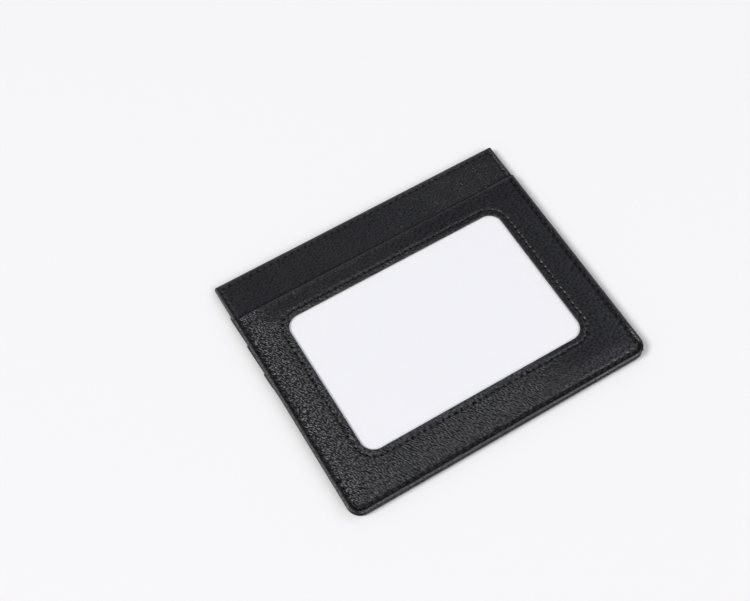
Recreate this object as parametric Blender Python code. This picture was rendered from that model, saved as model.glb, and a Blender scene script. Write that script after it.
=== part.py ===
# Slim leather card wallet with a clear window, built ply by ply.
# The wallet lies flat: +Z is the window side, +Y is the open mouth, X is the width.
# The origin is at the middle of the face that rests on the table.
import math

import bmesh
import bpy

MM = 0.001

# Overall size
WIDTH = 103.0 * MM            # across the slot hems, the widest place
HEIGHT = 87.0 * MM            # foot seam to open mouth
FOOT_RADIUS = 4.4 * MM        # rounded lower corners of every full ply
MOUTH_RADIUS = 0.7 * MM       # upper corners are nearly square
HEM_SPREAD = 0.5 * MM         # a folded slot hem stands this far out at each side
SPREAD_LENGTH = 11.0 * MM     # the side edge runs back in over this length

# Plies, thickness of each material as it lies in the wallet
SLOT_LEATHER = 0.45 * MM      # lowest card slot
STRIP_LEATHER = 0.35 * MM     # pared strips of the upper card slots
POCKET_CLOTH = 0.12 * MM      # cloth that hangs from a strip and makes the slot deep
WALL_LEATHER = 0.45 * MM      # two walls of the centre pocket
LINING_CLOTH = 0.12 * MM      # lining of the centre pocket
INSERT_STOCK = 0.25 * MM      # blank paper insert behind the window
FILM_STOCK = 0.15 * MM        # clear vinyl
PANEL_LEATHER = 0.55 * MM     # window panel where it is a single ply
PLY_GAP = 0.05 * MM           # a flat wallet is glued and sewn, so plies nearly touch

# Seams
SEAM_INSET = 1.5 * MM         # stitch line inside the wallet's sewn edges
SEAM_WIDTH = 3.1 * MM         # the pockets stop this far inside the sewn edges
GROOVE_RADIUS = 0.38 * MM     # the thread lies in a pressed round groove
GROOVE_DEPTH = 0.22 * MM
STITCH_BEND = 1.2 * MM        # a stitch line never turns tighter than this
EDGE_ROUND = 0.34 * MM        # roll of a turned leather edge, measured inwards
SEAM_STEP = 0.3 * MM          # length of the steep step beside a pocket
SHOULDER = 1.3 * MM           # leather slopes up from the seam over this width

# Window panel, the front ply with the clear window
PANEL_DROP = 13.6 * MM        # its upper edge lies this far below the mouth
PANEL_INSET = 0.4 * MM        # its turned sides lie inside the wall behind
PANEL_MARGIN = 0.57 * MM      # its thickness in the sewn seam
PANEL_CROWN = 0.2 * MM        # soft leather swells between its two stitch lines
WINDOW_SIDE = 13.45 * MM      # leather beside the window, out to the slot hems
WINDOW_FOOT = 14.45 * MM      # leather below the window
WINDOW_HEAD = 8.4 * MM        # leather between the window and the panel's upper edge
WINDOW_RADIUS = 4.4 * MM
WINDOW_STITCH = 2.1 * MM      # stitch ring outside the window
WINDOW_ROLL = 0.2 * MM        # the cut edge of the window is rounded over
MOUTH_ROW_SHARES = (0.15, 0.3, 0.45)    # rows between its upper edge and the stitch ring

# Film and insert behind the window
FILM_LAP = 4.5 * MM           # film reaches this far past the window
FILM_RADIUS = 1.5 * MM
INSERT_DROP = 1.0 * MM        # the insert stops this far below the panel's upper edge
INSERT_RADIUS = 2.0 * MM
INSERT_SIDE_GAP = 0.4 * MM    # room beside the insert, so that it slides
INSERT_FOOT_GAP = 0.3 * MM    # room between the insert and the foot seam

# Card slots on the back, each opening below the one before
SLOT_DROP = 10.8 * MM         # from the mouth to the first slot, and from slot to slot
STRIP_HEIGHT = 16.0 * MM
SLOT_DEPTH = 46.0 * MM        # a bank card stands about 8 mm out of a slot
CLOTH_LAP = 5.0 * MM          # cloth is glued behind the lower edge of its strip
CLOTH_INSET = 6.0 * MM        # cloth ends inside the side seams
CREASE_DROP = 3.0 * MM        # pressed line below each slot edge
CREASE_WIDTH = 0.4 * MM
CREASE_DEPTH = 0.1 * MM
SEAM_LIFT = 0.8 * MM          # the sewn edge curls up off the table
LIFT_SLOPE = 1.7 * MM         # it comes down to the table over this width, inside the seam
LIFT_RUN = 2.0 * MM           # the lift fades out over this length below a strip

# Linings
LINING_DROP = 3.0 * MM        # cloth starts below the stitched mouth edge
LINING_INSET = 1.0 * MM       # cloth edges are hidden inside the sewn edge

# Mesh steps
CORNER_STEPS = 6
EDGE_STEPS = 3
OVERRUN = 1.0 * MM            # cutters pass through by this much
LEAST_RADIUS = 0.15 * MM      # an inner outline never has a sharper corner
WELD = 0.001 * MM
RUN_SHARE = 0.02              # extra points stay this share of a run clear of its corner

BODY_HALF = WIDTH / 2 - HEM_SPREAD
FOOT_Y = -HEIGHT / 2
MOUTH_Y = HEIGHT / 2
PANEL_HALF = BODY_HALF - PANEL_INSET
PANEL_MOUTH = MOUTH_Y - PANEL_DROP
POCKET_HALF = PANEL_HALF - SEAM_WIDTH
POCKET_FOOT = FOOT_Y + SEAM_WIDTH
WINDOW_HALF = WIDTH / 2 - WINDOW_SIDE
WINDOW_LOW = FOOT_Y + WINDOW_FOOT
WINDOW_HIGH = PANEL_MOUTH - WINDOW_HEAD
LIFT_END = SEAM_WIDTH - SEAM_STEP
LIFT_START = LIFT_END - LIFT_SLOPE

# Order of the plies from the table up, as (name, thickness)
STACK = (
    ("card_slot_3", SLOT_LEATHER),
    ("card_slot_2", STRIP_LEATHER),
    ("slot_2_pocket_cloth", POCKET_CLOTH),
    ("card_slot_1", STRIP_LEATHER),
    ("slot_1_pocket_cloth", POCKET_CLOTH),
    ("back_wall", WALL_LEATHER),
    ("back_lining", LINING_CLOTH),
    ("front_lining", LINING_CLOTH),
    ("front_wall", WALL_LEATHER),
    ("insert_card", INSERT_STOCK),
    ("window_film", FILM_STOCK),
    ("window_panel", PANEL_LEATHER),
)


def stack_levels():
    """Low and high face of each ply where the stack is complete."""
    levels = {}
    low = 0.0
    for name, thickness in STACK:
        levels[name] = (low, low + thickness)
        low += thickness + PLY_GAP
    return levels


LEVEL = stack_levels()


def clear_scene():
    for item in list(bpy.data.objects):
        bpy.data.objects.remove(item, do_unlink=True)


def make_material(name, colour, roughness, alpha=1.0):
    """Principled material, with its colour as linear values."""
    material = bpy.data.materials.new(name)
    material.use_nodes = True
    shader = material.node_tree.nodes["Principled BSDF"]
    shader.inputs["Base Color"].default_value = (*colour, 1.0)
    shader.inputs["Roughness"].default_value = roughness
    shader.inputs["Metallic"].default_value = 0.0
    shader.inputs["Alpha"].default_value = alpha
    material.diffuse_color = (*colour, alpha)
    return material


def ramp(value, start, end):
    """0 at start, 1 at end, straight between them and level outside."""
    return min(max((value - start) / (end - start), 0.0), 1.0)


def blend(low, high, share):
    return low + (high - low) * share


class Outline:
    """A ply's edge: two lower corners of one radius and two upper ones of another."""

    def __init__(self, half, foot, mouth, foot_radius, mouth_radius, spread=0.0, hem=None):
        self.half = half
        self.foot = foot
        self.mouth = mouth
        self.foot_radius = foot_radius
        self.mouth_radius = mouth_radius
        self.spread = spread
        self.hem = mouth if hem is None else hem

    def side_x(self, y):
        """Half the width at this height, wider towards a hem that spreads."""
        return self.half + self.spread * ramp(y, self.hem - SPREAD_LENGTH, self.hem)

    def inset(self, side, mouth=None, least_radius=LEAST_RADIUS):
        """The outline moved inwards, by another amount at the mouth where one is given."""
        mouth = side if mouth is None else mouth
        return Outline(self.half - side, self.foot + side, self.mouth - mouth,
                       max(self.foot_radius - side, least_radius),
                       max(self.mouth_radius - side, least_radius), self.spread, self.hem)

    def stitch_line(self):
        """The line of a seam, which turns its corners in a soft bend."""
        return self.inset(SEAM_INSET, least_radius=STITCH_BEND)

    def points(self, side_stations=(), mouth_stations=()):
        """Points anticlockwise from the lower right corner.

        Stations are extra points on the straight runs: heights up both sides, highest
        last, and distances from the middle along the mouth, furthest first.
        """
        wide = self.side_x(self.mouth)
        right = [(self.half - self.foot_radius + across, self.foot + self.foot_radius - along)
                 for across, along in reversed(corner_arc(self.foot_radius))]
        top = self.mouth - self.mouth_radius
        for order, y in enumerate(side_stations):
            fit_share = 1.0 - (len(side_stations) - order) * RUN_SHARE
            y = min(y, blend(self.foot + self.foot_radius, top, fit_share))
            right.append((self.side_x(y), y))
        right += [(wide - self.mouth_radius + across, self.mouth - self.mouth_radius + along)
                  for across, along in corner_arc(self.mouth_radius)]
        run = wide - self.mouth_radius
        for order, x in enumerate(mouth_stations):
            fit_share = 1.0 - (order + 1) / (len(mouth_stations) + 1) * RUN_SHARE
            right.append((min(x, run * fit_share), self.mouth))
        left = [(-x, y) for x, y in reversed(right)]
        return right + left


def corner_arc(radius):
    """A quarter circle about the corner's centre, from the side to the top."""
    turn = math.pi / 2 / CORNER_STEPS
    return [(radius * math.cos(turn * step), radius * math.sin(turn * step))
            for step in range(CORNER_STEPS + 1)]


def edge_rows():
    """Insets of a turned edge, each with its share of the full thickness."""
    rows = []
    for step in range(1, EDGE_STEPS + 1):
        inset = EDGE_ROUND * (step / EDGE_STEPS) ** 2
        share = math.sqrt(1.0 - (1.0 - inset / EDGE_ROUND) ** 2)
        rows.append((inset, share))
    return rows


def loft(name, rows, material, open_middle=False):
    """Closed sheet through rows of vertex pairs, from its outer edge inwards.

    A row is (points, low heights, high heights). Where low and high are the same list,
    the two faces meet in one edge. The last row is capped, or is the edge of a window.
    """
    mesh = bmesh.new()
    lows = []
    highs = []
    for points, low, high in rows:
        lows.append([mesh.verts.new((x, y, z)) for (x, y), z in zip(points, low)])
        if low is high:
            highs.append(lows[-1])
        else:
            highs.append([mesh.verts.new((x, y, z)) for (x, y), z in zip(points, high)])
    for side in (lows, highs):
        for outer, inner in zip(side, side[1:]):
            bridge(mesh, outer, inner)
    if lows[0] is not highs[0]:
        bridge(mesh, lows[0], highs[0])
    if open_middle:
        bridge(mesh, lows[-1], highs[-1])
    else:
        mesh.faces.new(lows[-1])
        mesh.faces.new(highs[-1])
    return finish_mesh(name, mesh, material)


def bridge(mesh, outer, inner):
    """Faces between two rows of equal length."""
    count = len(outer)
    for here in range(count):
        there = (here + 1) % count
        mesh.faces.new((outer[here], outer[there], inner[there], inner[here]))


def finish_mesh(name, mesh, material=None):
    bmesh.ops.recalc_face_normals(mesh, faces=mesh.faces)
    data = bpy.data.meshes.new(name)
    mesh.to_mesh(data)
    mesh.free()
    if material:
        data.materials.append(material)
    item = bpy.data.objects.new(name, data)
    bpy.context.scene.collection.objects.link(item)
    return item


def flat_rows(outline, low, high, side_stations=(), mouth_stations=()):
    """Rows of a turned edge on a sheet whose two faces are given as heights of a point."""
    points = outline.points(side_stations, mouth_stations)
    middle = [(low(x, y) + high(x, y)) / 2 for x, y in points]
    rows = [(points, middle, middle)]
    for inset, share in edge_rows():
        points = outline.inset(inset).points(side_stations, mouth_stations)
        middle = [(low(x, y) + high(x, y)) / 2 for x, y in points]
        half = [(high(x, y) - low(x, y)) / 2 * share for x, y in points]
        rows.append((points, [m - h for m, h in zip(middle, half)],
                     [m + h for m, h in zip(middle, half)]))
    return rows


def plain_row(outline, low, high, side_stations=(), mouth_stations=()):
    points = outline.points(side_stations, mouth_stations)
    return points, [low(x, y) for x, y in points], [high(x, y) for x, y in points]


def level(z):
    """A face that is flat at this height."""
    return lambda x, y: z


def flat_sheet(name, outline, material):
    """Thin cut ply of cloth, film or paper with square cut edges."""
    low, high = LEVEL[name]
    points = outline.points()
    row = (points, [low] * len(points), [high] * len(points))
    return loft(name, [row], material)


def groove_cutter(name, path, closed):
    """Round bar along a stitch line, which presses a groove into the leather."""
    curve = bpy.data.curves.new(name, "CURVE")
    curve.dimensions = "3D"
    curve.bevel_depth = GROOVE_RADIUS
    curve.bevel_resolution = 1
    curve.use_fill_caps = True
    spline = curve.splines.new("POLY")
    spline.points.add(len(path) - 1)
    for point, (x, y, z) in zip(spline.points, path):
        point.co = (x, y, z, 1.0)
    spline.use_cyclic_u = closed
    guide = bpy.data.objects.new(name + "_path", curve)
    mesh = bmesh.new()
    mesh.from_mesh(bpy.data.meshes.new_from_object(guide))
    bpy.data.objects.remove(guide, do_unlink=True)
    bmesh.ops.remove_doubles(mesh, verts=mesh.verts, dist=WELD)
    cutter = finish_mesh(name, mesh)
    cutter.hide_render = True
    cutter.display_type = "WIRE"
    return cutter


def open_path(outline, side_stations=()):
    """The stitch line down one side, round the foot and up the other side."""
    points = outline.points(side_stations)
    below = outline.mouth - outline.mouth_radius
    right = [(x, y) for x, y in points[:len(points) // 2] if y < below]
    right.append((outline.side_x(outline.mouth), outline.mouth + OVERRUN))
    return [(-x, y) for x, y in reversed(right)] + right


def side_path(outline, side):
    """The stitch line across the end of a strip."""
    ends = (outline.foot - OVERRUN, outline.hem - SPREAD_LENGTH, outline.hem + OVERRUN)
    return [(side * outline.side_x(y), y) for y in sorted(ends)]


def press_groove(item, path, surface, side, closed=False):
    """Cut a stitch groove along a path into the upper (1) or lower (-1) face of a ply."""
    offset = side * (GROOVE_RADIUS - GROOVE_DEPTH)
    spots = [(x, y, surface(x, y) + offset) for x, y in path]
    cut = item.modifiers.new("stitch_groove", "BOOLEAN")
    cut.operation = "DIFFERENCE"
    cut.object = groove_cutter(item.name + "_groove", spots, closed)


def make_card_slot_3(material):
    """Lowest card slot, a full leather panel with a thick turned edge on three sides."""
    low_z, high_z = LEVEL["card_slot_3"]
    rim_z = LEVEL["back_wall"][0] - PLY_GAP
    mouth = MOUTH_Y - 3 * SLOT_DROP
    strip_end = MOUTH_Y - 2 * SLOT_DROP - STRIP_HEIGHT
    crease_end = mouth - CREASE_DROP - 2 * CREASE_WIDTH
    rim_end = min(strip_end, crease_end) - SEAM_STEP
    outline = Outline(BODY_HALF, FOOT_Y, mouth, FOOT_RADIUS, MOUTH_RADIUS, HEM_SPREAD)

    def edge_distance(x, y):
        return min(outline.side_x(y) - abs(x), y - FOOT_Y)

    def crease(y):
        return CREASE_DEPTH * (1.0 - ramp(abs(y - (mouth - CREASE_DROP)), 0.0, CREASE_WIDTH))

    def low(x, y):
        lift = 1.0 - ramp(edge_distance(x, y), LIFT_START, LIFT_END)
        lift *= 1.0 - ramp(y, rim_end - LIFT_RUN, rim_end)
        return low_z + SEAM_LIFT * lift + crease(y)

    def high(x, y):
        rim = 1.0 - ramp(edge_distance(x, y), SEAM_WIDTH - SEAM_STEP, SEAM_WIDTH)
        rim *= 1.0 - ramp(y, rim_end - SEAM_STEP, rim_end)
        return blend(high_z, rim_z, rim)

    stations = (rim_end - LIFT_RUN, rim_end - SEAM_STEP, rim_end)
    rows = flat_rows(outline, low, high, stations)
    insets = ((LIFT_START, CREASE_DROP - CREASE_WIDTH), (LIFT_END, CREASE_DROP),
              (SEAM_WIDTH - SEAM_STEP / 2, CREASE_DROP + CREASE_WIDTH / 2),
              (SEAM_WIDTH, CREASE_DROP + CREASE_WIDTH))
    for side, mouth_inset in insets:
        rows.append(plain_row(outline.inset(side, mouth_inset), low, high, stations))
    slot = loft("card_slot_3", rows, material)
    press_groove(slot, open_path(outline.stitch_line(), stations), low, -1)


def make_slot_strip(number, material):
    """Upper card slot: a strip of leather across the wallet, creased below its folded edge."""
    name = f"card_slot_{number}"
    low_z, high_z = LEVEL[name]
    mouth = MOUTH_Y - number * SLOT_DROP
    foot = mouth - STRIP_HEIGHT
    outline = Outline(BODY_HALF, foot, mouth, MOUTH_RADIUS, MOUTH_RADIUS, HEM_SPREAD)

    def low(x, y):
        away = abs(y - (mouth - CREASE_DROP))
        return low_z + CREASE_DEPTH * (1.0 - ramp(away, 0.0, CREASE_WIDTH))

    high = level(high_z)
    rows = flat_rows(outline, low, high)
    for place in (-1, 0, 1):
        side = SEAM_INSET + place * SEAM_STEP
        drop = CREASE_DROP + place * CREASE_WIDTH
        rows.append(plain_row(outline.inset(side, drop), low, high))
    strip = loft(name, rows, material)
    for end in (-1, 1):
        press_groove(strip, side_path(outline.stitch_line(), end), low, -1)


def make_pocket_cloth(number, material):
    """Cloth that hangs from a slot strip inside the wallet and ends at the slot's floor."""
    mouth = MOUTH_Y - number * SLOT_DROP
    top = mouth - STRIP_HEIGHT + CLOTH_LAP
    outline = Outline(BODY_HALF - CLOTH_INSET, mouth - SLOT_DEPTH, top,
                      MOUTH_RADIUS, MOUTH_RADIUS)
    flat_sheet(f"slot_{number}_pocket_cloth", outline, material)


def full_outline():
    return Outline(BODY_HALF, FOOT_Y, MOUTH_Y, FOOT_RADIUS, MOUTH_RADIUS)


def make_wall(name, side, material):
    """Full leather wall of the centre pocket, stitched round all four edges."""
    low, high = (level(z) for z in LEVEL[name])
    wall = loft(name, flat_rows(full_outline(), low, high), material)
    outer_face = high if side > 0 else low
    press_groove(wall, full_outline().stitch_line().points(), outer_face, side, closed=True)


def make_lining(name, material):
    """Cloth behind a wall, from the foot seam to just below the mouth."""
    outline = full_outline().inset(LINING_INSET, LINING_DROP)
    flat_sheet(name, outline, material)


def make_insert(material):
    """Blank paper insert, which stands on the foot seam and slides out of the mouth."""
    outline = Outline(POCKET_HALF - INSERT_SIDE_GAP, POCKET_FOOT + INSERT_FOOT_GAP,
                      PANEL_MOUTH - INSERT_DROP, INSERT_RADIUS, INSERT_RADIUS)
    flat_sheet("insert_card", outline, material)


def window_outline(grow=0.0):
    """The window, or a line round it."""
    return Outline(WINDOW_HALF + grow, WINDOW_LOW - grow, WINDOW_HIGH + grow,
                   WINDOW_RADIUS + grow, WINDOW_RADIUS + grow)


def make_film(material):
    """Clear film sewn behind the window."""
    outline = Outline(WINDOW_HALF + FILM_LAP, WINDOW_LOW - FILM_LAP,
                      WINDOW_HIGH + FILM_LAP, FILM_RADIUS, FILM_RADIUS)
    flat_sheet("window_film", outline, material)


def make_window_panel(material):
    """Front ply: a turned edge sewn down on three sides, swelling up round the window."""
    ceiling, field = LEVEL["window_panel"]
    seam_low = LEVEL["front_wall"][1] + PLY_GAP
    seam_high = seam_low + PANEL_MARGIN
    outline = Outline(PANEL_HALF, FOOT_Y, PANEL_MOUTH, FOOT_RADIUS, MOUTH_RADIUS)

    def edge_distance(x, y):
        return min(PANEL_HALF - abs(x), y - FOOT_Y)

    def low(x, y):
        inside = ramp(edge_distance(x, y), SEAM_WIDTH - SEAM_STEP, SEAM_WIDTH)
        return blend(seam_low, ceiling, inside)

    def high(x, y):
        rise = ramp(edge_distance(x, y), SEAM_WIDTH - SHOULDER, SEAM_WIDTH)
        return blend(seam_high, field, rise)

    def crown(x, y):
        return high(x, y) + PANEL_CROWN

    def rolled(x, y):
        return field - WINDOW_ROLL

    stations = (POCKET_HALF + SHOULDER, POCKET_HALF + SEAM_STEP, POCKET_HALF)
    room = PANEL_MOUTH - WINDOW_HIGH - WINDOW_STITCH
    sides = (SEAM_WIDTH - SHOULDER, SEAM_WIDTH - SEAM_STEP, SEAM_WIDTH)
    rows = flat_rows(outline, low, high, (), stations)
    for side, share in zip(sides, MOUTH_ROW_SHARES):
        rows.append(plain_row(outline.inset(side, share * room), low, high, (), stations))
    inner = window_outline(WINDOW_STITCH + GROOVE_RADIUS)
    rows.append(between_row(outline.inset(SEAM_WIDTH, MOUTH_ROW_SHARES[-1] * room), inner,
                            low, crown, stations))
    rows.append(plain_row(inner, low, high, (), stations))
    rows.append(plain_row(window_outline(WINDOW_ROLL), low, high, (), stations))
    rows.append(plain_row(window_outline(), low, rolled, (), stations))
    panel = loft("window_panel", rows, material, open_middle=True)
    body = Outline(BODY_HALF, FOOT_Y, PANEL_MOUTH, FOOT_RADIUS, MOUTH_RADIUS)
    press_groove(panel, open_path(body.stitch_line()), high, 1)
    press_groove(panel, window_outline(WINDOW_STITCH).points(), high, 1, closed=True)


def between_row(outer, inner, low, high, stations):
    """The row halfway between two outlines."""
    pairs = zip(outer.points((), stations), inner.points((), stations))
    points = [((a + c) / 2, (b + d) / 2) for (a, b), (c, d) in pairs]
    return points, [low(x, y) for x, y in points], [high(x, y) for x, y in points]


def build():
    clear_scene()
    leather = make_material("black_leather", (0.014, 0.014, 0.017), 0.5)
    cloth = make_material("black_lining_cloth", (0.02, 0.02, 0.022), 0.85)
    film = make_material("clear_vinyl", (0.9, 0.92, 0.95), 0.08, 0.25)
    paper = make_material("white_paper", (0.85, 0.87, 0.9), 0.6)
    make_card_slot_3(leather)
    for number in (2, 1):
        make_slot_strip(number, leather)
        make_pocket_cloth(number, cloth)
    make_wall("back_wall", -1, leather)
    make_lining("back_lining", cloth)
    make_lining("front_lining", cloth)
    make_wall("front_wall", 1, leather)
    make_insert(paper)
    make_film(film)
    make_window_panel(leather)


build()
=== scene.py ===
# %% [markdown]
# # A leather card wallet with a clear window
#
# The wallet is a stack of thin plies, sewn together round three sides. The frame holds each
# ply at its real size and place. This script dresses the frame: it models the swelling
# leather, the pressed seams and every stitch, and it makes the finishes.
#
# The frame is loaded first, and its parts are kept for their boxes.

import math
import random

import bpy
import numpy as np
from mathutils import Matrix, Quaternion, Vector, kdtree, noise


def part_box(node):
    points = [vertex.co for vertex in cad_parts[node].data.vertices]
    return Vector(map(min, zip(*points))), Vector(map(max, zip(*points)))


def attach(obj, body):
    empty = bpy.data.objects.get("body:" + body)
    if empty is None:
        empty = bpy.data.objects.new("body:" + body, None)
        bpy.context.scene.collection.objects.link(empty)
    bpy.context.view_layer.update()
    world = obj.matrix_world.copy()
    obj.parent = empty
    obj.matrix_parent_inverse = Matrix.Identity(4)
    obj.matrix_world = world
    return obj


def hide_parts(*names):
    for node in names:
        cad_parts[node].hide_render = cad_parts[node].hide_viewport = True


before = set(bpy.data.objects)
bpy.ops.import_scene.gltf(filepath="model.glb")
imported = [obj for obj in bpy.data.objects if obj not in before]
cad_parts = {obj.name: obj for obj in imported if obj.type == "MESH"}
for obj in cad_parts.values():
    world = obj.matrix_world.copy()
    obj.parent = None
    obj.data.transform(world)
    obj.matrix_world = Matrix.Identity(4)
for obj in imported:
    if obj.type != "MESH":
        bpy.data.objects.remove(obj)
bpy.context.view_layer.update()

# %% [markdown]
# ## Units
#
# The seams of a wallet are fractions of a millimetre, so every size below is written in
# millimetres. A mesh is written in metres, as the frame is, when its points are set.

# %% Millimetres
MM = 0.001


def box_mm(node):
    """Lowest and highest corner of a frame node, in millimetres."""
    low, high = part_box(node)
    return low / MM, high / MM


for name in ("card_slot_3", "front_wall", "window_panel"):
    low, high = box_mm(name)
    print(name, [round(v, 2) for v in low], [round(v, 2) for v in high])

# %% [markdown]
# ## Camera
#
# The photograph looks down at the wallet from its lower left, with a medium long lens. The
# angles come from the wallet's own four edges and its window: those lines fix where the
# camera stood. A long lens keeps opposite edges nearly parallel.

# %% Camera at the photograph's angle
LENS = 60.7             # millimetres, on a 36 mm wide sensor
LOOK_AT = (-10.17, 14.27, 2.0)
AZIMUTH = -27.66        # degrees round from the foot of the wallet
ELEVATION = 61.54
ROLL = 3.34
DISTANCE = 390.1
NEAREST = 10.0          # nothing nearer to the camera than this is drawn


def direction(azimuth, elevation):
    """Unit vector from the wallet towards these angles, in degrees."""
    around, up = math.radians(azimuth), math.radians(elevation)
    return Vector((math.sin(around) * math.cos(up), -math.cos(around) * math.cos(up),
                   math.sin(up)))


data = bpy.data.cameras.new("camera")
data.lens = LENS
data.clip_start = NEAREST * MM
camera = bpy.data.objects.new("camera", data)
bpy.context.scene.collection.objects.link(camera)
back = direction(AZIMUTH, ELEVATION)
camera.location = (Vector(LOOK_AT) + back * DISTANCE) * MM
camera.rotation_mode = "QUATERNION"
lean = Quaternion((0, 0, 1), -math.radians(ROLL))
camera.rotation_quaternion = back.to_track_quat("Z", "Y") @ lean
bpy.context.scene.camera = camera
print("camera at", [round(v, 3) for v in camera.location])

# %% [markdown]
# ## Choosing and shaping by code
#
# Blender's operators act on what is selected. These helpers select objects or faces, and read
# or write all points of a mesh at once.

# %% Selection helpers
def deselect():
    if bpy.context.mode != "OBJECT":
        bpy.ops.object.mode_set(mode="OBJECT")
    bpy.ops.object.select_all(action="DESELECT")


def choose(*items):
    """Selects only these objects. The last one is active."""
    deselect()
    for item in items:
        item.select_set(True)
    bpy.context.view_layer.objects.active = items[-1]


def edit_faces(item, chosen, operation, **settings):
    """Runs one edit mode operation on only these faces."""
    choose(item)
    bpy.ops.object.mode_set(mode="EDIT")
    bpy.ops.mesh.select_mode(type="FACE")
    bpy.ops.mesh.select_all(action="DESELECT")
    bpy.ops.object.mode_set(mode="OBJECT")
    item.data.polygons.foreach_set("select", chosen)
    bpy.ops.object.mode_set(mode="EDIT")
    operation(**settings)
    bpy.ops.object.mode_set(mode="OBJECT")


def face_centres(item):
    """Places of the faces, as x and y."""
    centres = np.empty(len(item.data.polygons) * 3)
    item.data.polygons.foreach_get("center", centres)
    return centres.reshape(-1, 3).T[:2] / MM


def get_points(item):
    places = np.empty(len(item.data.vertices) * 3)
    item.data.vertices.foreach_get("co", places)
    return places.reshape(-1, 3) / MM


def set_points(item, places):
    item.data.vertices.foreach_set("co", (places * MM).ravel())
    item.data.update()


def smooth(value, start, end):
    """0 before start, 1 after end, and an even S between them."""
    share = np.clip((value - start) / (end - start), 0.0, 1.0)
    return share * share * (3 - 2 * share)


def bump(value, centre, width):
    """A round hump of height 1."""
    return np.exp(-((value - centre) / width) ** 2)


print("smooth half way", smooth(0.5, 0, 1), "bump one width out", round(bump(1, 0, 1), 2))

# %% [markdown]
# ## Where the edges are
#
# Every place comes from the frame's boxes. The window is cut smaller than the film behind it,
# which laps under the leather on all sides.

# %% Places from the frame
SLOT, WALL = box_mm("card_slot_3"), box_mm("front_wall")
PANEL, FILM = box_mm("window_panel"), box_mm("window_film")
FOOT, MOUTH = WALL[0].y, WALL[1].y
BODY_HALF, HEM_HALF = WALL[1].x, SLOT[1].x
FULLER = 0.1            # the panel's turned edge is a little fuller than the wall behind
PANEL_HALF, PANEL_MOUTH = BODY_HALF + FULLER, PANEL[1].y
FOOT_RADIUS, MOUTH_RADIUS = 4.4, 0.7
FILM_LAP = 4.5
WINDOW_HALF = FILM[1].x - FILM_LAP
WINDOW_LOW, WINDOW_HIGH = FILM[0].y + FILM_LAP, FILM[1].y - FILM_LAP
WINDOW_RADIUS = 4.4
print("window", round(2 * WINDOW_HALF, 1), "x", round(WINDOW_HIGH - WINDOW_LOW, 1), "mm")

# %% [markdown]
# ## Rows of stitches
#
# A lockstitch machine makes stitches of one length along a line: the needle goes down at even
# steps, and the thread lies on the leather between two holes. The tight thread pinches the
# leather at the holes and lets it puff up between them.
#
# The line of a row is a path of closely spaced points, with its corners turned.

# %% Paths
PATH_STEP = 0.05
TURN_POINTS = 24    # points on each turned corner


def rounded_path(corners, radius, closed):
    """Even points along straight runs whose corners are turned with one radius."""
    corners = [Vector(corner) for corner in corners]
    points = []
    count = len(corners)
    for here in range(count):
        corner = corners[here]
        if not closed and here in (0, count - 1):
            points.append(corner)
            continue
        back = (corners[here - 1] - corner).normalized()
        ahead = (corners[(here + 1) % count] - corner).normalized()
        centre = corner + (back + ahead) * radius
        for turn in np.linspace(0, math.pi / 2, TURN_POINTS):
            points.append(centre - ahead * radius * math.cos(turn)
                          - back * radius * math.sin(turn))
    if closed:
        points.append(points[0])
    points = np.array([tuple(point) for point in points])
    along = np.concatenate([[0], np.cumsum(np.linalg.norm(np.diff(points, axis=0), axis=1))])
    even = np.linspace(0, along[-1], int(along[-1] / PATH_STEP))
    return np.stack([np.interp(even, along, points[:, k]) for k in (0, 1)], 1), along[-1]


print("a corner of 3 mm is", round(rounded_path([(0, 9), (0, 0), (9, 0)], 3, False)[1] - 12, 2),
      "mm long")

# %% [markdown]
# ## Asking a row
#
# A point of the leather can ask a row how far it is from the line and from the nearest needle
# hole, and how tightly the thread pinches there. From these come the pressed line, the dents
# at its holes and the puffs between them.

# %% Stitch rows
ROW_REACH, FAR = 5.0, 99.0              # beyond this reach, a row counts as this far away
HOLE_WIDTH, HOLE_SHARE = 0.26, 0.7      # a needle hole, and its depth against the line's
SLACK = 0.25                            # the line is this much shallower between two holes
DASH_WIDTH, DASH_LENGTH = 0.32, 0.5     # half sizes of the dark dent at each hole


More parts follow.
